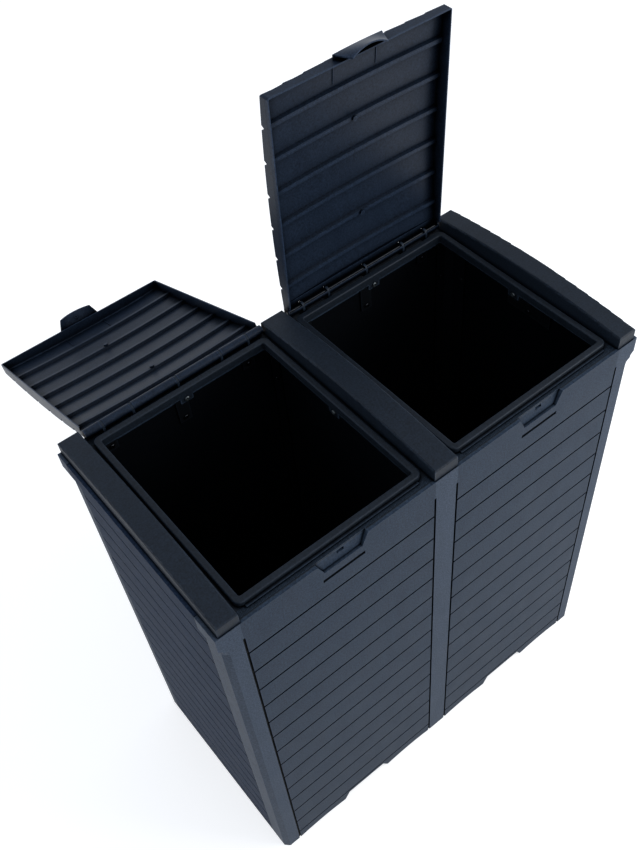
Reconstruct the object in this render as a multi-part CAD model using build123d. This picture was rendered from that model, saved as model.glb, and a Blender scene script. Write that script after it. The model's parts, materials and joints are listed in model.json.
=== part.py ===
"""Two-compartment trash can with plank-grooved walls and two arched lids.

Units are millimetres. X points right, Y points back and Z points up.
The origin is on the floor, under the middle of the body.
"""
import os
from math import asin, atan, cos, degrees, radians, sin, sqrt

from build123d import *

# Body
body_width = 830.0
body_depth = 432.0
deck_height = 896.0
wall = 4.0
corner_facet = 9.0
front_return = 50.0
rear_return = 28.0
seam_gap = 1.0

# Flange along the top of the body
flange_reach = 6.5
flange_side_height = 30.0

# Corner fillers between the facet and the flange
filler_rise = 14.0
filler_drop = 5.0
filler_tip = 0.4

# Plank grooves
plank_groove_count = 14
plank_top_band = 86.0
plank_bottom_band = 31.3
groove_width = 4.0
groove_depth = 2.5
post_width = 35.0
stile_half_width = 22.5
upright_groove_drop = 41.0

# Latch scoops and slots
scoop_top_width = 93.0
scoop_bottom_width = 70.0
scoop_height = 25.0
scoop_top_depth = 8.0
scoop_bottom_depth = 5.0
scoop_backing = 7.0
scoop_backing_margin = 8.0
lock_slot_width = 13.0
lock_slot_height = 6.0
lock_slot_drop = 8.0
vent_slot_width = 78.0
side_slot_width = 70.0
slot_height = 7.0
slot_drop = 41.0

# Feet
foot_gap_top_width = 93.0
foot_gap_bottom_width = 117.0
foot_gap_height = 21.0
foot_arch_rise = 5.0

# Divider between the compartments
divider_web = 4.0
divider_flange_width = 36.0
divider_flange = 3.0

# Floor trays
tray_wall = 3.0
tray_under_height = 24.0
tray_rim_height = 46.0
tray_gap = 0.5
tray_leg_width = 34.0
tray_leg_inset = 60.0
tray_facet = 8.0
tray_rib_depth = 10.0

# Corner posts
post_wall = 3.0
post_front_side_leg = 66.0
post_front_leg = 34.0
post_rear_side_leg = 44.0
post_rear_leg = 34.0
post_web_leg = 14.0
post_tray_gap = 2.0

# Decks and collars
deck_plate = 4.0
deck_gap = 0.5
collar_inner_x = 30.9
collar_side_inset = 45.4
collar_front_inset = 19.0
collar_rear_inset = 20.0
collar_width = 11.5
collar_rise = 11.0
collar_wall = 2.5
collar_corner = 12.0
collar_inner_corner = 3.5
collar_edge_round = 2.4
collar_skirt_drop = 5.0
shelf_depth = 5.0
lug_width = 24.0
lug_wall = 3.0
lug_offset_share = 0.406
lug_high_drop = 43.0
lug_low_drop = 76.0
lug_side_drop = 84.0
lug_side_y = 3.0
lug_end = 9.0
lug_leg = 12.0
lug_slot_gap = 4.0
block_depth = 10.0
block_height = 16.0
block_width = 24.0

# Crossbars
crossbar_half_width = 23.0
crossbar_side_width = 37.0
crossbar_front_step = 2.0
crossbar_end_height = 22.0
crossbar_crown_height = 34.0
crossbar_wall = 2.5
crossbar_edge_round = 3.0

# Lids
lid_side_overhang = 3.2
lid_front_overhang = 5.0
lid_rear = 12.5
lid_rim = 10.0
lid_rest_gap = 0.3
lid_edge_height = 8.0
lid_rise = 9.0
lid_crown = 4.5
lid_wall = 2.5
lid_skirt = 2.3
lid_plate = 2.5
lid_front_round = 5.0
lid_corner_round = 4.0
lid_groove_count = 6
lid_first_groove_share = 0.1262
lid_groove_pitch_share = 0.148
lid_groove_top_width = 8.5
lid_groove_bottom_width = 2.0
lid_groove_depth = 6.0
lid_rib_top_width = 12.5
lid_rib_bottom_width = 7.0
lid_rib_depth = 5.5
cut_margin = 1.0
left_lid_angle = 201.0
right_lid_angle = 88.0

# Hinge
hinge_inset = 6.0
hinge_rise = 13.0
roll_radius = 8.0
roll_wall = 2.5
roll_open_angle = 56.0
rod_radius = 3.0
rod_clearance = 0.05
rod_end_gap = 0.5
hook_shares = (-0.817, -0.499, 0, 0.499, 0.817)
hook_thickness = 4.0
hook_ring_radius = 7.4
hook_stem_back = 1.6
hook_stem_front = 7.4
hook_foot_reach = 4.0
hook_foot_height = 3.0
hook_slot_width = 5.0
hook_slot_radius = 8.3
roll_cap = 2.5

# Stop edge for the opened lids
stop_drop = 11.2

# Finger tab of each lid
tab_top_width = 92.0
tab_bottom_width = 65.0
tab_top_height = 4.5
tab_top_out = 7.5
tab_top_bow = 1.0
tab_bottom_out = 10.3
tab_bottom_bow = 10.5
tab_drop = 26.0
tab_thickness = 2.2
tab_ring_radius = 3.4
tab_ring_bore = 1.7
tab_ring_height = 1.4
tab_ring_drop = 16.0
tab_rib_spacing = 82.0
tab_rib_length = 42.0
tab_rib_width = 1.2
tab_rib_height = 1.2
rib_boss_radius = 4.0
rib_boss_height = 3.0
rib_boss_shares = (0.035, -0.023)
rib_boss_grooves = (1, 4)

# Screws
screw_head_radius = 4.5
screw_head_height = 2.2
screw_shank_radius = 1.9
screw_hole_radius = 2.0
screw_wall_bite = 3.0
screw_hole_depth = 3.3
screw_recess_radius = 2.4
screw_recess_depth = 1.1
rim_screw_length = 9.0
rim_screw_drop = 10.0
joint_screw_shares = (0.145, 0.513, 0.87)
post_screw_side = 24.0
post_screw_back_inset = 12.0
divider_screw_offset = 12.0

half_width = body_width / 2
half_depth = body_depth / 2
inner_x = half_width - wall
inner_y = half_depth - wall
inner_facet = corner_facet - wall * (2 - sqrt(2))
front_seam = -half_depth + front_return
rear_seam = half_depth - rear_return
deck_under = deck_height - deck_plate
flange_bottom = deck_height - flange_side_height
first_groove_height = deck_height - plank_top_band
plank_pitch = (first_groove_height - plank_bottom_band) / (plank_groove_count - 1)
post_groove_x = half_width - post_width
upright_groove_top = deck_height - upright_groove_drop
slot_top_height = deck_height - slot_drop
collar_outer_x = half_width - collar_side_inset
collar_front = half_depth - collar_front_inset
collar_rear = half_depth - collar_rear_inset
collar_top = deck_height + collar_rise
collar_skirt_bottom = deck_height - collar_skirt_drop
field_centre = (collar_inner_x + collar_outer_x) / 2
lug_offset = lug_offset_share * (collar_outer_x - collar_inner_x)
hinge_y = half_depth - hinge_inset
hinge_z = deck_height + hinge_rise
lid_inner_x = collar_inner_x - lid_side_overhang
lid_outer_x = collar_outer_x + lid_side_overhang
lid_half_width = (lid_outer_x - lid_inner_x) / 2
lid_front = hinge_y + collar_front + lid_front_overhang
lid_first_groove = lid_first_groove_share * lid_front
lid_groove_pitch = lid_groove_pitch_share * lid_front
shelf_top = hinge_z - lid_rim - lid_rest_gap
stop_top = hinge_z - stop_drop
sides = (-1, 1)


def span(x0, x1, y0, y1, z0, z1):
    """Box between two corners, given in either order."""
    low = (min(x0, x1), min(y0, y1), min(z0, z1))
    size = (abs(x1 - x0), abs(y1 - y0), abs(z1 - z0))
    return Pos(*low) * Box(*size, align=(Align.MIN, Align.MIN, Align.MIN))


def prism(points, direction):
    """Solid swept from a closed outline of 3D points."""
    outline = make_face(Polyline(*points, close=True))
    return extrude(outline, amount=direction.length, dir=direction.normalized())


def faceted_block(width, depth, leg, z0, z1):
    """Upright block with four faceted corners."""
    outline = Rectangle(width, depth)
    outline = chamfer(outline.vertices(), leg)
    return Pos(0, 0, z0) * extrude(outline, z1 - z0)


def x_cylinder(radius, x0, x1, y, z):
    """Cylinder that lies along X."""
    middle = Pos((x0 + x1) / 2, y, z)
    return middle * Rot(0, 90, 0) * Cylinder(radius, abs(x1 - x0))


def plank_heights():
    """Heights of the level grooves, from the top down."""
    return [first_groove_height - plank_pitch * k for k in range(plank_groove_count)]


def screw(length, hole=False):
    """Pan-head screw that points along +Z with its head under the origin."""
    if hole:
        return Pos(0, 0, length / 2) * Cylinder(screw_hole_radius, length)
    head = Pos(0, 0, -screw_head_height / 2) * Cylinder(screw_head_radius, screw_head_height)
    head = chamfer(head.edges().group_by(Axis.Z)[0], screw_head_height / 3)
    recess = Pos(0, 0, screw_recess_depth / 2 - screw_head_height)
    head -= recess * Cylinder(screw_recess_radius, screw_recess_depth)
    return head + Pos(0, 0, length / 2) * Cylinder(screw_shank_radius, length)


def place_screw(body, x, y, z, direction):
    """Turn a screw so that it points along a level direction, and move it."""
    turns = {"+X": Rot(0, 90, 0), "-X": Rot(0, -90, 0), "+Y": Rot(-90, 0, 0), "-Y": Rot(90, 0, 0)}
    return Pos(x, y, z) * turns[direction] * body


# Places of the fixings, each as (x, y, z, direction)
def deck_screw_places(side):
    """Screws that hold one deck to the walls."""
    centre = side * field_centre
    face_y = inner_y - lug_wall
    places = []
    for offset in (-lug_offset, lug_offset):
        places.append((centre + offset, face_y, deck_height - lug_high_drop, "+Y"))
        places.append((centre + offset, -face_y, deck_height - lug_high_drop, "-Y"))
    places.append((centre, face_y, deck_height - lug_low_drop, "+Y"))
    outward = "+X" if side > 0 else "-X"
    places.append((side * (inner_x - lug_wall), lug_side_y, deck_height - lug_side_drop, outward))
    return places


def joint_screw_levels():
    """Heights of the screws in the posts and the divider."""
    return [share * deck_height for share in joint_screw_shares]


def post_screw_places(side, end):
    """Screws that hold one corner post to the walls; end is -1 for the front."""
    places = []
    side_leg = post_front_side_leg if end < 0 else post_rear_side_leg
    outward = "+X" if side > 0 else "-X"
    endward = "+Y" if end > 0 else "-Y"
    for z in joint_screw_levels():
        near_y = end * (inner_y - post_screw_side)
        far_y = end * (inner_y - side_leg + post_screw_back_inset / 2)
        x_face = side * (inner_x - post_wall)
        places.append((x_face, near_y if end < 0 else far_y, z, outward))
        if end < 0:
            places.append((x_face, far_y, z, outward))
        places.append((side * (inner_x - post_screw_side), end * (inner_y - post_wall), z, endward))
    return places


def divider_screw_places():
    """Screws that hold the divider to the front and rear walls."""
    places = []
    for z in joint_screw_levels():
        for side in sides:
            for end, direction in ((-1, "-Y"), (1, "+Y")):
                y = end * (inner_y - divider_flange)
                places.append((side * divider_screw_offset, y, z, direction))
    return places


def rim_screw_places(side):
    """Screws at the middle of each side of one opening."""
    x0 = collar_inner_x + collar_width
    x1 = collar_outer_x - collar_width
    y0 = -collar_front + collar_width
    y1 = collar_rear - collar_width
    middle_x = (x0 + x1) / 2
    middle_y = (y0 + y1) / 2
    z = deck_height - rim_screw_drop
    places = [
        (side * x0, middle_y, z, "-X" if side > 0 else "+X"),
        (side * x1, middle_y, z, "+X" if side > 0 else "-X"),
        (side * middle_x, y0, z, "-Y"),
        (side * middle_x, y1, z, "+Y"),
    ]
    return places


def joint_places():
    """Every screw that goes through a post, a lug or the divider into a wall."""
    places = divider_screw_places()
    for side in sides:
        places += deck_screw_places(side)
        for end in sides:
            places += post_screw_places(side, end)
    return places


def screw_cutters(places, length):
    """Holes for a list of screws."""
    return [place_screw(screw(length, hole=True), *place) for place in places]


# Wall panels
def wall_ring():
    """The four walls in one piece, before they are parted at the seams."""
    ring = faceted_block(body_width, body_depth, corner_facet, 0, deck_height)
    ring -= faceted_block(2 * inner_x, 2 * inner_y, inner_facet, 0, deck_height)
    reach = half_width + flange_reach
    for side in sides:
        outline = [
            (side * (half_width - wall), -half_depth, flange_bottom - flange_reach),
            (side * half_width, -half_depth, flange_bottom - flange_reach),
            (side * reach, -half_depth, flange_bottom),
            (side * reach, -half_depth, deck_height),
            (side * (half_width - wall), -half_depth, deck_height),
        ]
        ring += prism(outline, Vector(0, body_depth, 0))
        for end in sides:
            ring += corner_filler(side, end)
    return ring


def corner_filler(side, end):
    """Small gusset that fills the faceted corner below the flange."""
    foot = flange_bottom - flange_reach - filler_drop
    near = half_width - corner_facet
    inner = [(side * near, end * half_depth), (side * half_width, end * (half_depth - corner_facet))]
    tip = filler_tip + half_width - corner_facet / 2
    low_corner = (side * tip, end * (tip - half_width + half_depth))
    low = make_face(Polyline(*inner, low_corner, close=True))
    high = make_face(Polyline(*inner, (side * half_width, end * half_depth), close=True))
    wedge = loft([Pos(0, 0, foot - filler_rise) * low, Pos(0, 0, foot) * high], ruled=True)
    return wedge + Pos(0, 0, foot) * extrude(high, deck_height - foot)


def level_groove_cutters(x0, x1, y0, y1):
    """Level grooves over the given band of a wall."""
    cutters = []
    for z in plank_heights():
        cutters.append(span(x0, x1, y0, y1, z - groove_width / 2, z + groove_width / 2))
    return cutters


def field_cutters(end):
    """Grooves of the two plank fields of the front or rear wall."""
    outer = end * half_depth
    floor_of_groove = end * (half_depth - groove_depth)
    half_groove = groove_width / 2
    cutters = []
    for side in sides:
        cutters += level_groove_cutters(
            side * stile_half_width, side * post_groove_x, outer, floor_of_groove
        )
        for x in (side * stile_half_width, side * post_groove_x):
            cutters.append(
                span(x - half_groove, x + half_groove, outer, floor_of_groove, 0, upright_groove_top)
            )
    return cutters


def foot_cutters(end):
    """Foot gap and foot arches of the front or rear wall."""
    cutters = []
    depth = Vector(0, -end * 2 * wall, 0)
    y = end * (half_depth + wall / 2)
    for side in sides:
        centre = side * field_centre
        outline = [
            (centre - foot_gap_bottom_width / 2, y, 0),
            (centre + foot_gap_bottom_width / 2, y, 0),
            (centre + foot_gap_top_width / 2, y, foot_gap_height),
            (centre - foot_gap_top_width / 2, y, foot_gap_height),
        ]
        cutters.append(prism(outline, depth))
        spans = (
            (side * stile_half_width, centre - side * foot_gap_bottom_width / 2),
            (centre + side * foot_gap_bottom_width / 2, side * post_groove_x),
        )
        for x0, x1 in spans:
            arch = ThreePointArc((x0, y, 0), ((x0 + x1) / 2, y, foot_arch_rise), (x1, y, 0))
            face = make_face([arch, Line((x1, y, 0), (x0, y, 0))])
            cutters.append(extrude(face, amount=depth.length, dir=depth.normalized()))
    return cutters


def scoop_cutter(side):
    """Sloping latch scoop at the top of one front field."""
    centre = side * field_centre
    top = deck_height + cut_margin
    foot = deck_height - scoop_height
    front = -half_depth - cut_margin
    section = [
        (centre - scoop_top_width, front, top),
        (centre - scoop_top_width, -half_depth + scoop_top_depth, top),
        (centre - scoop_top_width, -half_depth + scoop_top_depth, deck_height),
        (centre - scoop_top_width, -half_depth + scoop_bottom_depth, foot),
        (centre - scoop_top_width, front, foot),
    ]
    swept = prism(section, Vector(2 * scoop_top_width, 0, 0))
    outline = [
        (centre - scoop_bottom_width / 2, front, foot),
        (centre + scoop_bottom_width / 2, front, foot),
        (centre + scoop_top_width / 2, front, deck_height),
        (centre + scoop_top_width / 2, front, top),
        (centre - scoop_top_width / 2, front, top),
        (centre - scoop_top_width / 2, front, deck_height),
    ]
    return swept & prism(outline, Vector(0, scoop_top_depth * 3, 0))


def front_panel(ring, holes):
    """Front wall with its returns round both corners."""
    reach = half_width + flange_reach
    panel = ring & span(-reach, reach, -half_depth, front_seam, 0, deck_height)
    for side in sides:
        centre = side * field_centre
        half = scoop_top_width / 2 + scoop_backing_margin
        low = deck_height - scoop_height - scoop_backing_margin
        panel += span(centre - half, centre + half, -inner_y, scoop_backing - inner_y, low, deck_under)
    cutters = field_cutters(-1) + foot_cutters(-1) + holes
    for side in sides:
        centre = side * field_centre
        lock_top = deck_height - lock_slot_drop + lock_slot_height / 2
        through = -inner_y + scoop_backing + cut_margin
        cutters.append(scoop_cutter(side))
        cutters.append(span(
            centre - lock_slot_width / 2, centre + lock_slot_width / 2,
            -half_depth - cut_margin, through, lock_top - lock_slot_height, lock_top))
        cutters.append(span(
            centre - vent_slot_width / 2, centre + vent_slot_width / 2,
            -half_depth - cut_margin, through, slot_top_height - slot_height, slot_top_height))
    return panel - cutters


def back_panel(ring, holes):
    """Rear wall with its returns and a raised stop edge behind each lid."""
    reach = half_width + flange_reach
    panel = ring & span(-reach, reach, rear_seam, half_depth, 0, deck_height)
    cutters = field_cutters(1) + foot_cutters(1) + holes
    for side in sides:
        panel += span(
            side * lid_inner_x, side * lid_outer_x, inner_y, half_depth, deck_height, stop_top)
    return panel - cutters


def side_panel(ring, side, holes):
    """One side wall between the two seams."""
    y0 = front_seam + seam_gap
    y1 = rear_seam - seam_gap
    outer = side * (half_width + flange_reach)
    panel = ring & span(side * inner_x, outer, y0, y1, 0, deck_height)
    groove_floor = side * (half_width - groove_depth)
    cutters = level_groove_cutters(side * half_width, groove_floor, y0, y1) + holes
    centre = lug_side_y
    cutters.append(span(
        side * (inner_x - cut_margin), side * (half_width + cut_margin),
        centre - side_slot_width / 2, centre + side_slot_width / 2,
        slot_top_height - slot_height, slot_top_height))
    return panel - cutters


# Inner parts
def centre_divider(holes):
    """Web between the compartments with a flange against each wall."""
    web = span(-divider_web / 2, divider_web / 2, -inner_y, inner_y, 0, deck_under)
    low = tray_rim_height + post_tray_gap
    half = divider_flange_width / 2
    for end in sides:
        web += span(-half, half, end * inner_y, end * (inner_y - divider_flange), low, deck_under)
    return web - holes


def floor_tray(side):
    """Raised floor of one compartment on four hollow legs."""
    x0 = divider_web / 2 + tray_gap
    x1 = inner_x - tray_gap
    y1 = inner_y - tray_gap
    width = x1 - x0
    middle = side * (x0 + x1) / 2
    outer = Pos(middle, 0, 0) * faceted_block(width, 2 * y1, tray_facet, tray_under_height, tray_rim_height)
    inner_leg = tray_facet - tray_wall * (2 - sqrt(2))
    hollow = faceted_block(
        width - 2 * tray_wall, 2 * (y1 - tray_wall), inner_leg,
        tray_under_height + tray_wall, tray_rim_height)
    tray = outer - Pos(middle, 0, 0) * hollow
    half_leg = tray_leg_width / 2
    hollow_leg = half_leg - tray_wall
    for leg_x in (x0 + tray_leg_inset, x1 - tray_leg_inset):
        for leg_y in (-y1 + tray_leg_inset, y1 - tray_leg_inset):
            x = side * leg_x
            tray += span(x - half_leg, x + half_leg, leg_y - half_leg, leg_y + half_leg, 0, tray_under_height)
            tray -= span(
                x - hollow_leg, x + hollow_leg, leg_y - hollow_leg, leg_y + hollow_leg,
                0, tray_under_height - tray_wall)
    for leg_y in (-y1 + tray_leg_inset, 0, y1 - tray_leg_inset):
        start = x0 + tray_leg_inset + half_leg
        stop = x1 - tray_leg_inset - half_leg
        tray += span(
            side * start, side * stop, leg_y - tray_wall / 2, leg_y + tray_wall / 2,
            tray_under_height - tray_rib_depth, tray_under_height)
    return tray


def corner_post(side, end, holes):
    """Angle post in one inner corner; end is -1 for the front."""
    side_leg = post_front_side_leg if end < 0 else post_rear_side_leg
    end_leg = post_front_leg if end < 0 else post_rear_leg
    low = tray_rim_height + post_tray_gap
    web = post_wall + post_web_leg
    outline = [
        (side * (inner_x - inner_facet), end * inner_y, low),
        (side * (inner_x - end_leg), end * inner_y, low),
        (side * (inner_x - end_leg), end * (inner_y - post_wall), low),
        (side * (inner_x - web), end * (inner_y - post_wall), low),
        (side * (inner_x - post_wall), end * (inner_y - web), low),
        (side * (inner_x - post_wall), end * (inner_y - side_leg), low),
        (side * inner_x, end * (inner_y - side_leg), low),
        (side * inner_x, end * (inner_y - inner_facet), low),
    ]
    return prism(outline, Vector(0, 0, deck_under - low)) - holes


def rounded_window(x0, x1, y0, y1, radius, z0, z1):
    """Upright block with rounded corners."""
    outline = RectangleRounded(abs(x1 - x0), y1 - y0, radius)
    return Pos((x0 + x1) / 2, (y0 + y1) / 2, z0) * extrude(outline, z1 - z0)


def top_frame(side):
    """Deck of one compartment with its collar, shelf, lugs and screw blocks."""
    x0 = deck_gap
    x1 = inner_x
    deck = span(side * x0, side * x1, -inner_y, inner_y, deck_under, deck_height)
    lip_x0 = side * collar_inner_x
    lip_x1 = side * collar_outer_x
    collar = rounded_window(
        lip_x0, lip_x1, -collar_front, collar_rear, collar_corner, collar_skirt_bottom, collar_top)
    in_x0 = side * (collar_inner_x + collar_width)
    in_x1 = side * (collar_outer_x - collar_width)
    in_y0 = -collar_front + collar_width
    in_y1 = collar_rear - collar_width
    opening = rounded_window(
        in_x0, in_x1, in_y0, in_y1, collar_inner_corner, collar_skirt_bottom, collar_top)
    collar = collar - opening
    collar = fillet(collar.edges().group_by(Axis.Z)[-1], collar_edge_round)
    out_channel = rounded_window(
        side * (collar_inner_x + collar_wall), side * (collar_outer_x - collar_wall),
        -collar_front + collar_wall, collar_rear - collar_wall, collar_corner - collar_wall,
        collar_skirt_bottom, collar_top - collar_wall)
    in_channel = rounded_window(
        side * (collar_inner_x + collar_width - collar_wall),
        side * (collar_outer_x - collar_width + collar_wall),
        in_y0 - collar_wall, in_y1 + collar_wall, collar_inner_corner + collar_wall,
        collar_skirt_bottom, collar_top - collar_wall)
    outside = rounded_window(
        lip_x0, lip_x1, -collar_front, collar_rear, collar_corner, collar_skirt_bottom, deck_under)
    deck_hole = rounded_window(
        side * (collar_inner_x + collar_wall), side * (collar_outer_x - collar_wall),
        -collar_front + collar_wall, collar_rear - collar_wall, collar_corner - collar_wall,
        deck_under, deck_height)
    keep = collar - (out_channel - in_channel)
    keep -= outside - out_channel
    frame = (deck - deck_hole) + keep
    frame += span(
        side * (collar_inner_x + collar_corner), side * (collar_outer_x - collar_corner),
        -collar_front - shelf_depth, -collar_front + collar_wall / 2, deck_height, shelf_top)
    for x, y, z, direction in deck_screw_places(side):
        half = lug_width / 2
        low = z - lug_end
        if direction in ("+Y", "-Y"):
            wall_y = inner_y if y > 0 else -inner_y
            frame += span(x - half, x + half, y, wall_y, low, deck_under)
        else:
            window = side_slot_width / 2 + lug_slot_gap
            leg = window + lug_leg
            slot_bottom = slot_top_height - slot_height
            frame += span(x, side * inner_x, y - leg, y + leg, low, deck_under)
            frame -= span(
                x, side * inner_x, y - window, y + window,
                slot_bottom - lug_slot_gap, slot_top_height + lug_slot_gap)
    for x, y, z, direction in rim_screw_places(side):
        half = block_width / 2
        low = deck_under - block_height + deck_plate
        if direction == "+X":
            frame += span(x, x + block_depth, y - half, y + half, low, deck_under)
        if direction == "-X":
            frame += span(x, x - block_depth, y - half, y + half, low, deck_under)
        if direction == "+Y":
            frame += span(x - half, x + half, y, y + block_depth, low, deck_under)
        if direction == "-Y":
            frame += span(x - half, x + half, y, y - block_depth, low, deck_under)
    cutters = screw_cutters(rim_screw_places(side), rim_screw_length + screw_wall_bite)
    cutters += screw_cutters(deck_screw_places(side), lug_wall)
    cutters.append(scoop_cutter(side))
    for end in sides:
        cutters.append(deck_corner_cutter(side, end))
    return frame - cutters


def deck_corner_cutter(side, end):
    """Takes the deck corner back to the faceted inner corner of the walls."""
    outline = [
        (side * (inner_x - inner_facet), end * inner_y, deck_under),
        (side * inner_x, end * (inner_y - inner_facet), deck_under),
        (side * half_width, end * half_depth, deck_under),
    ]
    return prism(outline, Vector(0, 0, deck_plate))


def crossbar(x0, x1):
    """Hollow crowned cap that runs from front to back."""
    def profile(inset, foot):
        end_top = deck_height + crossbar_end_height - inset
        crown = deck_height + crossbar_crown_height - inset
        front = -half_depth + crossbar_front_step + inset
        rear = half_depth - inset
        arch = ThreePointArc((0, front, end_top), (0, (front + rear) / 2, crown), (0, rear, end_top))
        edges = [
            Line((0, front, foot), (0, front, end_top)),
            arch,
            Line((0, rear, end_top), (0, rear, foot)),
            Line((0, rear, foot), (0, front, foot)),
        ]
        return make_face(edges)

    body = Pos(x0, 0, 0) * extrude(profile(0, deck_height), amount=x1 - x0, dir=(1, 0, 0))
    tops = [edge for edge in body.edges() if edge.center().Z > deck_height + crossbar_end_height / 2]
    tops = [edge for edge in tops if edge.bounding_box().min.Z > deck_height + crossbar_edge_round]
    body = fillet(tops, crossbar_edge_round)
    width = x1 - x0 - 2 * crossbar_wall
    hollow = extrude(profile(crossbar_wall, deck_height), amount=width, dir=(1, 0, 0))
    return body - Pos(x0 + crossbar_wall, 0, 0) * hollow


# Hinges
def hinge_hooks(side):
    """Hooks that stand on the rear of one deck and hold its rod."""
    hooks = None
    centre = side * field_centre
    for share in hook_shares:
        x0 = centre + share * lid_half_width - hook_thickness / 2
        x1 = x0 + hook_thickness
        front = hinge_y - hook_stem_front
        hook = x_cylinder(hook_ring_radius, x0, x1, hinge_y, hinge_z)
        hook += span(x0, x1, front, hinge_y - hook_stem_back, deck_height, hinge_z)
        hook += span(
            x0 - hook_foot_reach, x1 + hook_foot_reach, front, hinge_y - hook_stem_back,
            deck_height, deck_height + hook_foot_height)
        hook -= x_cylinder(rod_radius + rod_clearance, x0, x1, hinge_y, hinge_z)
        hooks = hook if hooks is None else hooks + hook
    return hooks


def hinge_rod(side):
    """Steel rod of one hinge."""
    centre = side * field_centre
    half = lid_half_width - rod_end_gap
    return x_cylinder(rod_radius, centre - half, centre + half, hinge_y, hinge_z)


# Lids, drawn closed with u forward from the hinge and w up from it
def lid_point(u, w):
    """Point of the lid section in the body frame."""
    return (0, hinge_y - u, hinge_z + w)


def arch_height(u):
    """Height of the outer face of the closed lid at its ends."""
    middle = (lid_rear + lid_front) / 2
    share = (u - middle) / (lid_front - middle)
    return lid_edge_height + lid_rise * (1 - share * share)


def lid_section(drop, start, stop, top_width, bottom_width, depth, foot, front_round):
    """Section of the lid: an arch with grooves or ribs and a round front, lowered by drop."""
    def top(u):
        return arch_height(u) + lid_crown - drop

    edges = []
    here = start
    for k in range(lid_groove_count):
        centre = lid_first_groove + lid_groove_pitch * k
        near = centre - top_width / 2
        far = centre + top_width / 2
        middle = (here + near) / 2
        edges.append(ThreePointArc(
            lid_point(here, top(here)), lid_point(middle, top(middle)), lid_point(near, top(near))))
        floor_height = top(centre) - depth
        low_near = centre - bottom_width / 2
        low_far = centre + bottom_width / 2
        edges.append(Line(lid_point(near, top(near)), lid_point(low_near, floor_height)))
        edges.append(Line(lid_point(low_near, floor_height), lid_point(low_far, floor_height)))
        edges.append(Line(lid_point(low_far, floor_height), lid_point(far, top(far))))
        here = far
    bend = stop - front_round
    middle = (here + bend) / 2
    bend_top = top(bend)
    edges.append(ThreePointArc(
        lid_point(here, top(here)), lid_point(middle, top(middle)), lid_point(bend, bend_top)))
    slant = front_round * sin(radians(45))
    edges.append(ThreePointArc(
        lid_point(bend, bend_top), lid_point(bend + slant, bend_top - front_round + slant),
        lid_point(stop, bend_top - front_round)))
    edges.append(Line(lid_point(stop, bend_top - front_round), lid_point(stop, -foot)))
    edges.append(Line(lid_point(stop, -foot), lid_point(start, -foot)))
    edges.append(Line(lid_point(start, -foot), lid_point(start, top(start))))
    return make_face(edges)


def crowned(face):
    """Sweep a lid section sideways along the crown of the lid."""
    half = lid_half_width + cut_margin
    crown_radius = half * half / (2 * lid_crown)
    middle = (lid_rear + lid_front) / 2
    centre_z = hinge_z + arch_height(middle) + lid_crown - crown_radius
    turn = degrees(asin(half / crown_radius))
    axis = Axis((0, 0, centre_z), (0, 1, 0))
    return revolve(face, axis=axis, revolution_arc=2 * turn).rotate(axis, -turn)


def lid_box(half, near, far, low, high):
    """Box in lid places, centred on the lid."""
    return span(-half, half, hinge_y - near, hinge_y - far, hinge_z + low, hinge_z + high)


def rounded_lid_box(half, near, far, low, high, radius):
    """Box in lid places with rounded front corners."""
    block = rounded_window(
        -half, half, hinge_y - far, hinge_y - near + 2 * radius, radius, hinge_z + low, hinge_z + high)
    return block & lid_box(half, near, far, low, high)


def lid_shell():
    """Arched panel with its skirts, open underneath."""
    high = lid_edge_height + lid_rise + lid_crown + cut_margin
    outer = crowned(lid_section(
        0, lid_rear, lid_front, lid_groove_top_width, lid_groove_bottom_width,
        lid_groove_depth, lid_rim + lid_crown, lid_front_round))
    outer &= rounded_lid_box(lid_half_width, lid_rear, lid_front, -lid_rim, high, lid_corner_round)
    inner = crowned(lid_section(
        lid_wall, lid_rear + lid_wall, lid_front - lid_skirt, lid_rib_top_width,
        lid_rib_bottom_width, lid_rib_depth, lid_rim + 2 * lid_crown, lid_front_round - lid_skirt))
    inner &= rounded_lid_box(
        lid_half_width - lid_skirt, lid_rear + lid_wall, lid_front - lid_skirt,
        -lid_rim - cut_margin, high, lid_corner_round - lid_skirt)
    shell = outer - inner
    rear_low = lid_edge_height - lid_plate
    shell -= lid_box(
        lid_half_width - lid_skirt, lid_rear - cut_margin, lid_rear + lid_wall,
        -lid_rim - cut_margin, rear_low)
    return shell + lid_box(lid_half_width, 0, lid_rear + lid_wall, rear_low, lid_edge_height)


def hinge_roll():
    """Part-round roll at the rear of the lid, closed at both ends, where it holds the rod."""
    half = lid_half_width
    bore = roll_radius - roll_wall
    roll = x_cylinder(roll_radius, -half, half, hinge_y, hinge_z)
    roll -= x_cylinder(bore, -half, half, hinge_y, hinge_z)
    far = 3 * roll_radius
    lip_u = far * cos(radians(roll_open_angle))
    lip_w = -far * sin(radians(roll_open_angle))
    outline = [
        (-half, hinge_y, hinge_z),
        (-half, hinge_y, hinge_z + far),
        (-half, hinge_y - far, hinge_z + far),
        (-half, hinge_y - far, hinge_z + lip_w),
        (-half, hinge_y - lip_u, hinge_z + lip_w),
    ]
    roll -= prism(outline, Vector(2 * half, 0, 0))
    for side in sides:
        inner = side * (half - roll_cap)
        cap = x_cylinder(roll_radius, inner, side * half, hinge_y, hinge_z)
        cap += span(
            inner, side * half, hinge_y, hinge_y - lid_rear - lid_wall,
            hinge_z - roll_radius / 2, hinge_z + lid_edge_height - lid_plate / 2)
        roll += cap
    return roll


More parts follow.
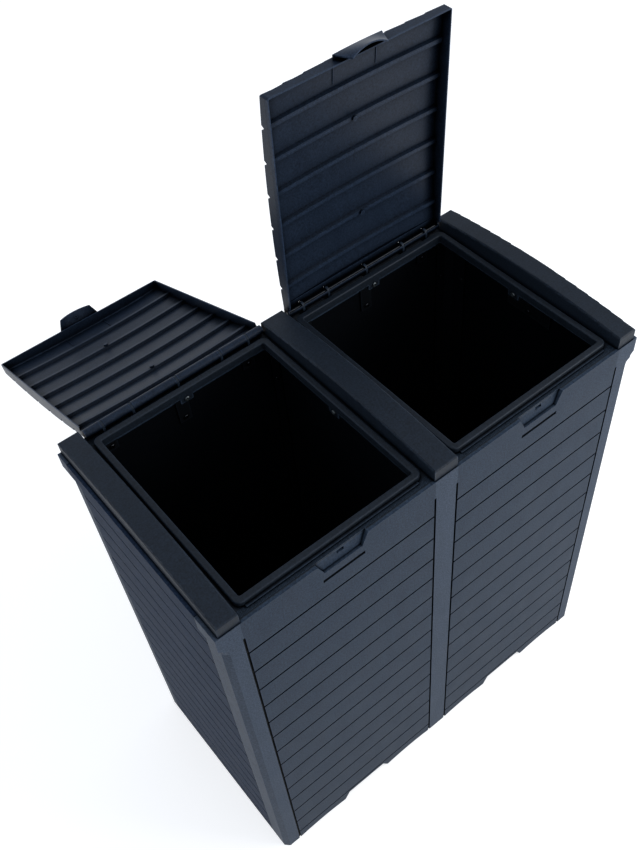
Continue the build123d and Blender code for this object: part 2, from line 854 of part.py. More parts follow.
def tab_slice(half, out, bow, w):
    """Level slice of the finger tab, bowed outwards in the middle."""
    near = hinge_y - lid_front - out + tab_thickness
    z = hinge_z + w
    outer_end = near - tab_thickness
    outer = ThreePointArc((-half, outer_end, z), (0, outer_end - bow, z), (half, outer_end, z))
    inner = ThreePointArc((half, near, z), (0, near - bow, z), (-half, near, z))
    ends = [Line((half, outer_end, z), (half, near, z)), Line((-half, near, z), (-half, outer_end, z))]
    return make_face([outer, inner] + ends)


def tab_ring():
    """Low ring on the inner face of the finger tab."""
    near = tab_top_out + tab_top_bow
    slope = (tab_bottom_out + tab_bottom_bow - near) / (tab_top_height + tab_drop)
    out = near + slope * (tab_top_height + tab_ring_drop) - tab_thickness
    middle = Pos(0, hinge_y - lid_front - out, hinge_z - tab_ring_drop)
    place = middle * Rot(90 - degrees(atan(slope)), 0, 0)
    ring = place * Cylinder(tab_ring_radius, 2 * tab_ring_height)
    return ring - place * Pos(0, 0, -tab_ring_height / 2) * Cylinder(tab_ring_bore, tab_ring_height)


def finger_tab():
    """Finger tab at the front of the lid; its free edge bows away from the wall."""
    top = tab_slice(tab_top_width / 2, tab_top_out, tab_top_bow, tab_top_height)
    foot = tab_slice(tab_bottom_width / 2, tab_bottom_out, tab_bottom_bow, -tab_drop)
    tab = loft([foot, top], ruled=True)
    tab += lid_box(
        tab_top_width / 2, lid_front - lid_skirt, lid_front + tab_top_out,
        tab_top_height - tab_thickness, tab_top_height)
    return tab + tab_ring()


def tab_ribs(ceiling):
    """Two low ribs inside the lid behind the finger tab."""
    band = ceiling - crowned(lid_section(
        lid_wall + tab_rib_height, lid_rear, lid_front, lid_groove_top_width,
        lid_groove_bottom_width, lid_groove_depth, lid_rim + 2 * lid_crown, lid_front_round))
    far = lid_front - lid_skirt
    strip = span(
        -tab_rib_width / 2, tab_rib_width / 2, hinge_y - far, hinge_y - far + tab_rib_length,
        hinge_z, hinge_z + lid_rim + lid_rise)
    strips = [Pos(side * tab_rib_spacing / 2, 0, 0) * strip for side in sides]
    return [band & strip for strip in strips]


def closed_lid():
    """Lid in its closed place, centred on X."""
    lid = lid_shell() + hinge_roll() + finger_tab()
    ceiling = crowned(lid_section(
        lid_wall / 2, lid_rear, lid_front, lid_groove_top_width, lid_groove_bottom_width,
        lid_groove_depth, lid_rim + lid_crown, lid_front_round))
    for rib in tab_ribs(ceiling):
        lid += rib
    for share, k in zip(rib_boss_shares, rib_boss_grooves):
        x = share * lid_half_width
        u = lid_first_groove + lid_groove_pitch * k
        low = arch_height(u) - lid_wall - lid_rib_depth - rib_boss_height + lid_crown
        boss = Pos(x, hinge_y - u, hinge_z + low + rib_boss_height / 2)
        lid += boss * Cylinder(rib_boss_radius, rib_boss_height + lid_wall / 2)
    slots = []
    for share in hook_shares:
        x0 = share * lid_half_width - hook_slot_width / 2
        slots.append(x_cylinder(hook_slot_radius, x0, x0 + hook_slot_width, hinge_y, hinge_z))
    bore = rod_radius + rod_clearance
    slots.append(x_cylinder(bore, -lid_half_width, lid_half_width, hinge_y, hinge_z))
    return lid - slots


def opened(lid, side, angle):
    """Move a closed lid over its compartment and open it."""
    axis = Axis((0, hinge_y, hinge_z), (-1, 0, 0))
    return Pos(side * field_centre, 0, 0) * lid.rotate(axis, angle)


def group(solids):
    """One shape out of many separate solids."""
    return Compound(children=list(solids))


def screw_group(places, length):
    """A set of alike screws."""
    return group(place_screw(screw(length), *place) for place in places)


def main():
    """Build every part and save it."""
    os.makedirs("parts", exist_ok=True)
    ring = wall_ring()
    wall_bite = screw_cutters(joint_places(), post_wall + screw_hole_depth)
    parts = {
        "front_panel": front_panel(ring, wall_bite),
        "back_panel": back_panel(ring, wall_bite),
        "side_panel_left": side_panel(ring, -1, wall_bite),
        "side_panel_right": side_panel(ring, 1, wall_bite),
        "centre_divider": centre_divider(screw_cutters(divider_screw_places(), divider_flange)),
        "crossbar_left": crossbar(-half_width, -half_width + crossbar_side_width),
        "crossbar_middle": crossbar(-crossbar_half_width, crossbar_half_width),
        "crossbar_right": crossbar(half_width - crossbar_side_width, half_width),
    }
    lid = closed_lid()
    all_post_places = []
    rim_places = []
    deck_places = []
    for side, name, angle in ((-1, "left", left_lid_angle), (1, "right", right_lid_angle)):
        parts["floor_tray_" + name] = floor_tray(side)
        parts["top_frame_" + name] = top_frame(side)
        parts["hinge_hooks_" + name] = hinge_hooks(side)
        parts["hinge_rod_" + name] = hinge_rod(side)
        parts["lid_" + name] = opened(lid, side, angle)
        rim_places += rim_screw_places(side)
        deck_places += deck_screw_places(side)
        for end, end_name in ((-1, "front"), (1, "rear")):
            places = post_screw_places(side, end)
            all_post_places += places
            holes = screw_cutters(places, post_wall)
            parts["corner_post_" + end_name + "_" + name] = corner_post(side, end, holes)
    parts["rim_screws"] = screw_group(rim_places, rim_screw_length)
    parts["deck_screws"] = screw_group(deck_places, lug_wall + screw_wall_bite)
    parts["post_screws"] = screw_group(all_post_places, post_wall + screw_wall_bite)
    parts["divider_screws"] = screw_group(divider_screw_places(), divider_flange + screw_wall_bite)
    for name, shape in parts.items():
        export_step(shape, "parts/" + name + ".step")


main()
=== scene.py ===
import json
from math import radians

import bpy
from bpy.props import (
    FloatProperty, FloatVectorProperty, IntProperty, PointerProperty, StringProperty)
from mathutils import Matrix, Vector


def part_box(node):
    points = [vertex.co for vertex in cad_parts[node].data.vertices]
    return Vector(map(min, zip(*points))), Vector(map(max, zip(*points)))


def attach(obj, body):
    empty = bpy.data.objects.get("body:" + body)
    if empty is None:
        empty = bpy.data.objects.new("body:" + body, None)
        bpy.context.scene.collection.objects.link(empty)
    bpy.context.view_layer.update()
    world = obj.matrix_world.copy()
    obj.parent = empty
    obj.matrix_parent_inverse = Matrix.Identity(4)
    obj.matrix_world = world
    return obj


bl_info = {
    "name": "Two-Compartment Trash Can Finish",
    "version": (1, 0, 0),
    "blender": (4, 5, 0),
    "location": "3D View > Sidebar > Trash Can",
    "description": "Finishes, small raised details and a plain stage for a trash can with two lids",
    "category": "Object",
}

SIDES = (("left", -1), ("right", 1))
DECK_PLASTIC = "moulded_polypropylene_decks"
# character of each noise
FLOW_NOISE = {"Detail": 3.0, "Roughness": 0.5}
GRAIN_NOISE = {"Detail": 2.0, "Roughness": 0.6}
STREAK_NOISE = {"Detail": 4.0, "Roughness": 0.6}
LINE_NOISE = {"Detail": 2.0, "Roughness": 0.5}
MOTTLE_NOISE = {"Detail": 3.0, "Roughness": 0.5}
# samples for the open share of the space round a point
OPEN_SAMPLES = 8
# sockets of a colour mix
MIX_FACTOR, MIX_FIRST, MIX_SECOND, MIX_RESULT = 0, 6, 7, 2
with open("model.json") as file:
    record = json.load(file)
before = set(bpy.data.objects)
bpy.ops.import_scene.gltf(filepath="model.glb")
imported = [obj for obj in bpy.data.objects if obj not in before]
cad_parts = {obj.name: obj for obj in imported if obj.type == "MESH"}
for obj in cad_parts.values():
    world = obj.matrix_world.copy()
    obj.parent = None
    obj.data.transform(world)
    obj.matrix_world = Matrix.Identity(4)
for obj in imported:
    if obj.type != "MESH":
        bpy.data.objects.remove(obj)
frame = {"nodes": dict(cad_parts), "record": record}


# Colours and shader nodes
def linear_colour(text):
    """Linear RGBA colour from an sRGB hex value."""
    values = [int(text[i:i + 2], 16) / 255 for i in (1, 3, 5)]
    return [v / 12.92 if v <= 0.04045 else ((v + 0.055) / 1.055) ** 2.4 for v in values] + [1.0]


def add_node(material, kind, inputs=None, **settings):
    """Add a shader node with its settings and inputs.

    An input is a value, a node whose first output it takes, or a (node, output) pair.
    """
    tree = material.node_tree
    node = tree.nodes.new(kind)
    for name, value in settings.items():
        setattr(node, name, value)
    for name, value in (inputs or {}).items():
        pair = isinstance(value, tuple) and isinstance(value[0], bpy.types.Node)
        source, output = value if pair else (value, 0)
        if isinstance(source, bpy.types.Node):
            tree.links.new(source.outputs[output], node.inputs[name])
        else:
            node.inputs[name].default_value = value
    return node


def new_material(name):
    """Empty node material and its output."""
    material = bpy.data.materials.new(name)
    material.use_nodes = True
    material.node_tree.nodes.clear()
    return material, add_node(material, "ShaderNodeOutputMaterial")


def finish_material(material, output, shader):
    """Link the last shader to the surface output."""
    material.node_tree.links.new(shader.outputs["BSDF"], output.inputs["Surface"])
    return material


def grain_scale(size):
    """Noise scale for features of the given size in metres."""
    return 1.0 / size


def within(material, value, low, high):
    """One where the absolute value lies between two limits, otherwise zero."""
    size = add_node(material, "ShaderNodeMath", {0: value}, operation="ABSOLUTE")
    above = add_node(material, "ShaderNodeMath", {0: size, 1: low}, operation="GREATER_THAN")
    below = add_node(material, "ShaderNodeMath", {0: size, 1: high}, operation="LESS_THAN")
    return add_node(material, "ShaderNodeMath", {0: above, 1: below}, operation="MULTIPLY")


# Finishes
def plastic_shader(material, output, settings, place, colour, finish):
    """Plastic surface with flow marks, a fine eroded grain, painted shade in the crevices and
    painted highlights on the outer edges.
    """
    gloss, roughness, grain_depth, edge_highlight_gain, crevice_size = finish
    flow = add_node(
        material, "ShaderNodeTexNoise",
        {"Vector": place, "Scale": grain_scale(settings.flow_size), **FLOW_NOISE})
    # the real grain is about 0.3 mm wide, and is drawn 3 mm wide so that it shows
    grain = add_node(
        material, "ShaderNodeTexNoise",
        {"Vector": place, "Scale": grain_scale(settings.grain_size), **GRAIN_NOISE})
    # the grain leaves tiny lighter and darker points
    low, high = settings.grain_limits
    speckle = add_node(
        material, "ShaderNodeMapRange",
        {"Value": grain, "From Min": low, "From Max": high,
         "To Min": 1.0 - settings.speckle, "To Max": 1.0 + settings.speckle})
    # painted shade: corners and crevices are darkened, and their reflection dulled, where shade
    # falls
    hollow = add_node(
        material, "ShaderNodeAmbientOcclusion", {"Distance": crevice_size}, samples=OPEN_SAMPLES)
    low, high = settings.crevice_limits
    shade = add_node(
        material, "ShaderNodeMapRange",
        {"Value": (hollow, "AO"), "From Min": low, "From Max": high,
         "To Min": settings.crevice_shade, "To Max": 1.0})
    # painted highlight: outer edges are lightened where light would catch them
    rim = add_node(
        material, "ShaderNodeAmbientOcclusion", {"Distance": settings.edge_size},
        samples=OPEN_SAMPLES, inside=True)
    low, high = settings.edge_limits
    painted_highlight = add_node(
        material, "ShaderNodeMapRange",
        {"Value": (rim, "AO"), "From Min": low, "From Max": high,
         "To Min": edge_highlight_gain, "To Max": 1.0})
    speckled = add_node(material, "ShaderNodeMath", {0: speckle, 1: shade}, operation="MULTIPLY")
    tone = add_node(material, "ShaderNodeMath", {0: speckled, 1: painted_highlight}, operation="MULTIPLY")
    shaded_gloss = add_node(material, "ShaderNodeMath", {0: shade, 1: gloss}, operation="MULTIPLY")
    flecked = add_node(
        material, "ShaderNodeVectorMath", {0: colour, 1: tone}, operation="MULTIPLY")
    sheen = add_node(
        material, "ShaderNodeMapRange",
        {"Value": flow, "To Min": roughness - settings.sheen_range,
         "To Max": roughness + settings.sheen_range})
    relief = add_node(
        material, "ShaderNodeBump",
        {"Height": grain, "Strength": settings.relief, "Distance": grain_depth})
    shader = add_node(
        material, "ShaderNodeBsdfPrincipled",
        {"Base Color": flecked, "Roughness": sheen, "Normal": relief,
         "Specular IOR Level": shaded_gloss, "IOR": settings.ior})
    return finish_material(material, output, shader)


def streaked_tint(material, settings, place, dark, light):
    """Tint with soft upright streaks left by the flow of the plastic."""
    along = add_node(
        material, "ShaderNodeMapping",
        {"Vector": place, "Scale": (1.0, 1.0, settings.streak_share)})
    streaks = add_node(
        material, "ShaderNodeTexNoise",
        {"Vector": along, "Scale": grain_scale(settings.streak_size), **STREAK_NOISE})
    tint = add_node(
        material, "ShaderNodeMix",
        {MIX_FACTOR: streaks, MIX_FIRST: linear_colour(dark), MIX_SECOND: linear_colour(light)},
        data_type="RGBA")
    return tint, MIX_RESULT


# moulded polypropylene looks dull and slightly waxy, with soft flow marks and a fine grain
def moulded_polypropylene(name, settings, tints, finish):
    """Injection-moulded polypropylene with a fine eroded grain."""
    material, output = new_material(name)
    place = add_node(material, "ShaderNodeTexCoord"), "Object"
    colour = streaked_tint(material, settings, place, *tints)
    return plastic_shader(material, output, settings, place, colour, finish)


# the same moulded plastic, with near-black painted shade on the lugs that hang below a deck in the
# dark inside
def deck_polypropylene(name, settings, tints, edge_highlight_gain):
    """Injection-moulded polypropylene of the decks, with painted shade on the lugs that hang
    inside.
    """
    material, output = new_material(name)
    place = add_node(material, "ShaderNodeTexCoord"), "Object"
    parts = add_node(material, "ShaderNodeSeparateXYZ", {"Vector": place})
    surface = streaked_tint(material, settings, place, *tints)
    # painted shade: below the lug top the deck takes the near-black inner tint
    lugs = within(material, (parts, "Z"), 0.0, settings.lug_top)
    colour = add_node(
        material, "ShaderNodeMix",
        {MIX_FACTOR: lugs, MIX_FIRST: surface, MIX_SECOND: linear_colour(settings.inner)},
        data_type="RGBA")
    finish = (
        settings.deck_gloss, settings.wall_roughness, settings.wall_grain, edge_highlight_gain,
        settings.deck_crevice)
    return plastic_shader(material, output, settings, place, (colour, MIX_RESULT), finish)


# the same moulded plastic, where planks and posts differ a little, with near-black painted shade in
# the grooves and on the inner faces
def plank_polypropylene(name, settings, axis, field, tints, gloss):
    """Injection-moulded polypropylene planks between posts, with near-black painted shade in the
    grooves and inside.
    """
    material, output = new_material(name)
    place = add_node(material, "ShaderNodeTexCoord"), "Object"
    parts = add_node(material, "ShaderNodeSeparateXYZ", {"Vector": place})
    posts = streaked_tint(material, settings, place, settings.post_dark, settings.post_light)
    planks = streaked_tint(material, settings, place, *tints)
    fields = within(material, (parts, "X"), *field)
    surface = add_node(
        material, "ShaderNodeMix", {MIX_FACTOR: fields, MIX_FIRST: posts, MIX_SECOND: planks},
        data_type="RGBA")
    # painted shade: the grooves and inner faces lie behind the outer skin and take the near-black
    # inner tint
    face = {"X": settings.half_width, "Y": settings.half_depth}[axis]
    reach = {"X": face, "Y": settings.groove_reach}[axis]
    behind = within(material, (parts, axis), 0.0, face - settings.skin)
    below = within(material, (parts, "Z"), 0.0, settings.groove_top)
    across = within(material, (parts, "X"), 0.0, reach)
    deep = add_node(material, "ShaderNodeMath", {0: behind, 1: below}, operation="MULTIPLY")
    painted_shade_mask = add_node(material, "ShaderNodeMath", {0: deep, 1: across}, operation="MULTIPLY")
    colour = add_node(
        material, "ShaderNodeMix",
        {MIX_FACTOR: painted_shade_mask, MIX_FIRST: (surface, MIX_RESULT),
         MIX_SECOND: linear_colour(settings.inner)}, data_type="RGBA")
    finish = (
        gloss, settings.wall_roughness, settings.wall_grain, settings.wall_edge,
        settings.wall_crevice)
    return plastic_shader(material, output, settings, place, (colour, MIX_RESULT), finish)


def metal_shader(material, output, settings, pattern):
    """Bare metal whose roughness follows a pattern."""
    rough = add_node(
        material, "ShaderNodeMapRange",
        {"Value": pattern, "To Min": settings.roughness - settings.sheen_range,
         "To Max": settings.roughness + settings.sheen_range})
    shader = add_node(
        material, "ShaderNodeBsdfPrincipled",
        {"Base Color": linear_colour(settings.colour), "Metallic": 1.0, "Roughness": rough})
    return finish_material(material, output, shader)


# drawn steel shows fine lines along its length, and the oxide makes it near black
def drawn_oxide_steel(name, settings):
    """Drawn steel rod with a black oxide."""
    material, output = new_material(name)
    place = add_node(material, "ShaderNodeTexCoord"), "Object"
    # real lines are about 0.03 mm wide, and are drawn 0.25 mm wide so that they show
    along, across = grain_scale(settings.line_length), grain_scale(settings.line_width)
    stretched = add_node(
        material, "ShaderNodeMapping", {"Vector": place, "Scale": (along, across, across)})
    lines = add_node(
        material, "ShaderNodeTexNoise", {"Vector": stretched, "Scale": 1.0, **LINE_NOISE})
    return metal_shader(material, output, settings, lines)


# zinc plating leaves steel pale and dull, with a soft mottle
def zinc_plated_steel(name, settings):
    """Zinc-plated steel of the screws."""
    material, output = new_material(name)
    place = add_node(material, "ShaderNodeTexCoord"), "Object"
    mottle = add_node(
        material, "ShaderNodeTexNoise",
        {"Vector": place, "Scale": grain_scale(settings.mottle_size), **MOTTLE_NOISE})
    return metal_shader(material, output, settings, mottle)


# a matt painted floor shows no pattern and keeps a soft shadow
def painted_floor(name, settings):
    """Even pale floor, white to the eye and in reflections, that gives no light of its own."""
    material, output = new_material(name)
    ray = add_node(material, "ShaderNodeLightPath")
    seen = add_node(
        material, "ShaderNodeMath", {0: (ray, "Is Camera Ray"), 1: (ray, "Is Glossy Ray")},
        operation="ADD")
    shown = add_node(
        material, "ShaderNodeMath", {0: seen, 1: (ray, "Is Transmission Ray")}, operation="ADD")
    glow = add_node(
        material, "ShaderNodeMath", {0: shown, 1: settings.floor_glow}, operation="MULTIPLY")
    shader = add_node(
        material, "ShaderNodeBsdfPrincipled",
        {"Base Color": linear_colour(settings.floor), "Roughness": settings.floor_roughness,
         "Emission Color": linear_colour("#FFFFFF"), "Emission Strength": glow})
    return finish_material(material, output, shader)


# Pieces by material
def slot_nodes(slot):
    """CAD pieces of one material slot of the record."""
    entries = frame["record"]["subparts"]
    return [entry["node"] for entry in entries if entry["material_slot"] == slot]


def plastic_nodes(*starts):
    """Plastic CAD pieces whose names start with one of the given words."""
    return [node for node in slot_nodes("plastic") if node.startswith(starts)]


def dress(nodes, material):
    """Give CAD pieces one material."""
    for node in nodes:
        mesh = frame["nodes"][node].data
        mesh.materials.clear()
        mesh.materials.append(material)


# Settings
class PlasticSettings(bpy.types.PropertyGroup):
    """Moulded plastic."""
    deck_dark: StringProperty(
        name="Dark deck tint", description="Darker tint of the decks", default="#10161D")
    deck_light: StringProperty(
        name="Light deck tint", description="Lighter tint of the decks", default="#151D26")
    bar_dark: StringProperty(
        name="Dark bar tint", description="Darker tint of the crossbars", default="#131A22")
    bar_light: StringProperty(
        name="Light bar tint", description="Lighter tint of the crossbars", default="#17202B")
    post_dark: StringProperty(
        name="Dark post tint", description="Darker tint of the posts", default="#313B47")
    post_light: StringProperty(
        name="Light post tint", description="Lighter tint of the posts", default="#3C4655")
    plank_dark: StringProperty(
        name="Dark plank tint", description="Darker tint of the planks", default="#232C39")
    plank_light: StringProperty(
        name="Light plank tint", description="Lighter tint of the planks", default="#2B3745")
    # painted shade: the side tints are darker than the front and back tints, standing for the
    # weaker light on the side walls
    side_shaded_dark: StringProperty(
        name="Dark side tint", description="Darker tint of the sides", default="#202B3C")
    side_shaded_light: StringProperty(
        name="Light side tint", description="Lighter tint of the sides", default="#2A3649")
    lid_dark: StringProperty(
        name="Dark lid tint", description="Darker tint of the lids", default="#151D29")
    lid_light: StringProperty(
        name="Light lid tint", description="Lighter tint of the lids", default="#1D2735")
    # the inner tints are near-black painted shade for grooves, inner faces, hanging lugs and inner
    # parts
    inner: StringProperty(
        name="Inner tint", description="Tint of the grooves and the inner faces", default="#05080C")
    inner_light: StringProperty(
        name="Light inner tint", description="Lighter tint of the inner parts", default="#080C12")
    deck_gloss: FloatProperty(
        name="Deck gloss", description="Reflection of the decks", default=0.2)
    wall_gloss: FloatProperty(
        name="Wall gloss", description="Reflection of the front and back", default=0.1)
    side_gloss: FloatProperty(
        name="Side gloss", description="Reflection of the side walls", default=0.02)
    lid_gloss: FloatProperty(
        name="Lid gloss", description="Reflection of the lids", default=0.12)
    wall_roughness: FloatProperty(
        name="Wall roughness", description="Roughness of the grained walls", default=0.55)
    lid_roughness: FloatProperty(
        name="Lid roughness", description="Roughness of the smoother lids", default=0.36)
    ior: FloatProperty(
        name="Refraction", description="Refractive index of the plastic", default=1.49)
    sheen_range: FloatProperty(
        name="Sheen range", description="Change of roughness in a flow mark", default=0.05)
    flow_size: FloatProperty(
        name="Flow mark size", description="Size of the flow marks", default=0.045, unit="LENGTH")
    streak_size: FloatProperty(
        name="Streak size", description="Width of the streaks", default=0.02, unit="LENGTH")
    streak_share: FloatProperty(
        name="Streak share", description="Width of a streak as a share of its length", default=0.35)
    grain_size: FloatProperty(
        name="Grain size", description="Size of the mould grain", default=0.003, unit="LENGTH")
    grain_limits: FloatVectorProperty(
        name="Grain limits", description="Range of the noise that the grain uses", size=2,
        default=(0.3, 0.7))
    speckle: FloatProperty(
        name="Speckle", description="Change of brightness between points of the grain", default=0.4)
    relief: FloatProperty(
        name="Relief", description="Strength of the grain's relief", default=0.4)
    wall_grain: FloatProperty(
        name="Wall grain", description="Depth of the grain of the walls", default=0.0002,
        unit="LENGTH")
    lid_grain: FloatProperty(
        name="Lid grain", description="Depth of the grain of the lids", default=0.00006,
        unit="LENGTH")
    # reach of the painted shade in the corners and crevices of each kind of part
    deck_crevice: FloatProperty(
        name="Deck crevice size", description="Reach of the dark corners of the decks",
        default=0.006, unit="LENGTH")
    wall_crevice: FloatProperty(
        name="Wall crevice size", description="Reach of the dark corners of the walls",
        default=0.004, unit="LENGTH")
    lid_crevice: FloatProperty(
        name="Lid crevice size", description="Reach of the dark corners of the lids",
        default=0.026, unit="LENGTH")
    # limits and strength of the painted shade in crevices
    crevice_limits: FloatVectorProperty(
        name="Crevice limits", description="Open share of the deepest crevice and of an open face",
        size=2, default=(0.5, 1.0))
    crevice_shade: FloatProperty(
        name="Crevice shade", description="Brightness that is left in a crevice", default=0.05)
    # width, limits and brightness of the painted highlight on outer edges
    edge_size: FloatProperty(
        name="Edge size", description="Width of a worn edge", default=0.0024, unit="LENGTH")
    edge_limits: FloatVectorProperty(
        name="Edge limits", description="Filled share behind a sharp edge and behind an even face",
        size=2, default=(0.6, 0.95))
    deck_edge: FloatProperty(
        name="Deck edge", description="Brightness of the worn edges of the decks", default=3.5)
    bar_edge: FloatProperty(
        name="Bar edge", description="Brightness of the worn edges of the crossbars", default=1.8)
    wall_edge: FloatProperty(
        name="Wall edge", description="Brightness of the worn edges of the walls", default=1.1)
    lid_edge: FloatProperty(
        name="Lid edge", description="Brightness of the worn edges of the lids", default=2.0)
    half_width: FloatProperty(
        name="Half width", description="Half the width of the body", default=0.415, unit="LENGTH")
    half_depth: FloatProperty(
        name="Half depth", description="Half the depth of the body", default=0.216, unit="LENGTH")
    field_inner: FloatProperty(
        name="Field inner edge", description="Inner edge of a plank field", default=0.0225,
        unit="LENGTH")
    field_outer: FloatProperty(
        name="Field outer edge", description="Outer edge of a plank field", default=0.38,
        unit="LENGTH")
    # depth and heights that bound the painted shade of grooves, inner faces and lugs
    skin: FloatProperty(
        name="Skin", description="Depth behind the outer face at which a wall turns dark",
        default=0.0004, unit="LENGTH")
    lug_top: FloatProperty(
        name="Lug top", description="Height below which a deck hangs in the dark", default=0.87,
        unit="LENGTH")
    groove_top: FloatProperty(
        name="Groove top", description="Height of the highest groove end", default=0.858,
        unit="LENGTH")
    groove_reach: FloatProperty(
        name="Groove reach", description="Reach of the grooves from the middle", default=0.39,
        unit="LENGTH")


class SteelSettings(bpy.types.PropertyGroup):
    """Hinge rods."""
    colour: StringProperty(name="Colour", description="Colour of the steel", default="#2C2E31")
    roughness: FloatProperty(
        name="Roughness", description="Mean surface roughness", default=0.32)
    sheen_range: FloatProperty(
        name="Sheen range", description="Change of roughness between lines", default=0.08)
    line_length: FloatProperty(
        name="Line length", description="Length of a drawn line", default=0.125, unit="LENGTH")
    line_width: FloatProperty(
        name="Line width", description="Width of a drawn line", default=0.00025, unit="LENGTH")


class ZincSettings(bpy.types.PropertyGroup):
    """Screws."""
    colour: StringProperty(name="Colour", description="Colour of the screws", default="#63696B")
    roughness: FloatProperty(
        name="Roughness", description="Mean surface roughness", default=0.42)
    sheen_range: FloatProperty(
        name="Sheen range", description="Change of roughness in the mottle", default=0.06)
    mottle_size: FloatProperty(
        name="Mottle size", description="Size of the mottle", default=0.002, unit="LENGTH")


class LedgeSettings(bpy.types.PropertyGroup):
    """Fine ridges on the front ledge of each deck."""
    count: IntProperty(name="Ridges", description="Number of ridges on a ledge", default=7)
    pitch: FloatProperty(
        name="Pitch", description="Distance between ridges", default=0.0016, unit="LENGTH")
    width: FloatProperty(
        name="Width", description="Width of one ridge", default=0.0007, unit="LENGTH")
    height: FloatProperty(
        name="Height", description="Height of one ridge", default=0.0004, unit="LENGTH")
    inset: FloatProperty(
        name="Inset", description="Gap from the ends of the ledge", default=0.002, unit="LENGTH")


class StageSettings(bpy.types.PropertyGroup):
    """Floor, light and camera."""
    floor: StringProperty(name="Floor", description="Colour of the floor", default="#C8C8C8")
    floor_glow: FloatProperty(
        name="Floor glow", description="White added to the sight of the floor", default=0.65)
    floor_roughness: FloatProperty(
        name="Floor roughness", description="Roughness of the floor", default=0.9)
    floor_size: FloatProperty(
        name="Floor size", description="Width of the floor", default=60.0, unit="LENGTH")
    world: StringProperty(
        name="Surround", description="Colour of the surround", default="#DCE4F0")
    world_strength: FloatProperty(
        name="Surround strength", description="Light of the surround", default=0.95)
    light_power: FloatProperty(
        name="Front light", description="Power of the front light", default=50.0)
    light_size: FloatProperty(
        name="Light size", description="Width of the front light", default=1.8, unit="LENGTH")
    light_place: FloatVectorProperty(
        name="Light place", description="Place of the front light", default=(1.9, -1.7, 1.7),
        unit="LENGTH")
    light_turn: FloatVectorProperty(
        name="Light turn", description="Rotation of the front light",
        default=(radians(65), 0.0, radians(47)), unit="ROTATION")
    lens: FloatProperty(
        name="Lens", description="Focal length of the camera in millimetres", default=41.36)
    shift: FloatVectorProperty(
        name="Shift", description="Shift of the camera", size=2, default=(-0.0114, 0.0464))
    camera_place: FloatVectorProperty(
        name="Camera place", description="Place of the camera",
        default=(-0.6299, -0.8421, 2.0488), unit="LENGTH")
    camera_turn: FloatVectorProperty(
        name="Camera turn", description="Rotation of the camera",
        default=(radians(38.2517), radians(3.8698), radians(-38.9904)), unit="ROTATION")


def scene_settings(name):
    """Settings of one group in the scene."""
    return getattr(bpy.context.scene, "trash_can_" + name)


# Pieces
class CAN_OT_decks(bpy.types.Operator):
    """Give the decks, crossbars and hinge hooks their grained plastic"""
    bl_idname = "trash_can.decks"
    bl_label = "Decks"

    def execute(self, context):
        plastic = scene_settings("plastic")
        tints = (plastic.deck_dark, plastic.deck_light)
        decks = deck_polypropylene(DECK_PLASTIC, plastic, tints, plastic.deck_edge)
        dress(plastic_nodes("top_frame"), decks)
        tints = (plastic.bar_dark, plastic.bar_light)
        bars = deck_polypropylene("moulded_polypropylene_bars", plastic, tints, plastic.bar_edge)
        dress(plastic_nodes("crossbar", "hinge_hooks"), bars)
        return {"FINISHED"}


class CAN_OT_inner(bpy.types.Operator):
    """Give the divider, trays and corner posts plastic in near-black painted shade"""
    bl_idname = "trash_can.inner"
    bl_label = "Inner Parts"

    def execute(self, context):
        plastic = scene_settings("plastic")
        material = moulded_polypropylene(
            "moulded_polypropylene_inner_shaded", plastic, (plastic.inner, plastic.inner_light),
            (plastic.wall_gloss, plastic.wall_roughness, plastic.wall_grain, plastic.wall_edge,
             plastic.wall_crevice))
        dress(plastic_nodes("centre_divider", "floor_tray", "corner_post"), material)
        return {"FINISHED"}


class CAN_OT_walls(bpy.types.Operator):
    """Give the walls their plank finish"""
    bl_idname = "trash_can.walls"
    bl_label = "Plank Walls"

    def execute(self, context):
        plastic = scene_settings("plastic")
        fields = (plastic.field_inner, plastic.field_outer)
        tints = (plastic.plank_dark, plastic.plank_light)
        ends = plank_polypropylene(
            "moulded_polypropylene_ends", plastic, "Y", fields, tints, plastic.wall_gloss)
        dress(["front_panel", "back_panel"], ends)
        # painted shade: the side walls are a darker copy of the plank plastic, with less gloss
        everywhere = (0.0, 2 * plastic.half_width)
        tints = (plastic.side_shaded_dark, plastic.side_shaded_light)
        side_walls = plank_polypropylene(
            "moulded_polypropylene_sides_shaded", plastic, "X", everywhere, tints, plastic.side_gloss)
        dress(["side_panel_left", "side_panel_right"], side_walls)
        return {"FINISHED"}


class CAN_OT_lids(bpy.types.Operator):
    """Give the lids their smoother plastic"""
    bl_idname = "trash_can.lids"
    bl_label = "Lids"

    def execute(self, context):
        plastic = scene_settings("plastic")
        material = moulded_polypropylene(
            "moulded_polypropylene_lids", plastic, (plastic.lid_dark, plastic.lid_light),
            (plastic.lid_gloss, plastic.lid_roughness, plastic.lid_grain, plastic.lid_edge,
             plastic.lid_crevice))
        dress(plastic_nodes("lid"), material)
        return {"FINISHED"}


class CAN_OT_rods(bpy.types.Operator):
    """Give the hinge rods their drawn steel"""
    bl_idname = "trash_can.rods"
    bl_label = "Hinge Rods"

    def execute(self, context):
        material = drawn_oxide_steel("drawn_oxide_steel", scene_settings("steel"))
        dress(slot_nodes("black_steel"), material)
        return {"FINISHED"}


class CAN_OT_screws(bpy.types.Operator):
    """Give the screws their zinc plating"""
    bl_idname = "trash_can.screws"
    bl_label = "Screws"

    def execute(self, context):
        material = zinc_plated_steel("zinc_plated_steel", scene_settings("zinc"))
        dress(slot_nodes("zinc"), material)
        return {"FINISHED"}


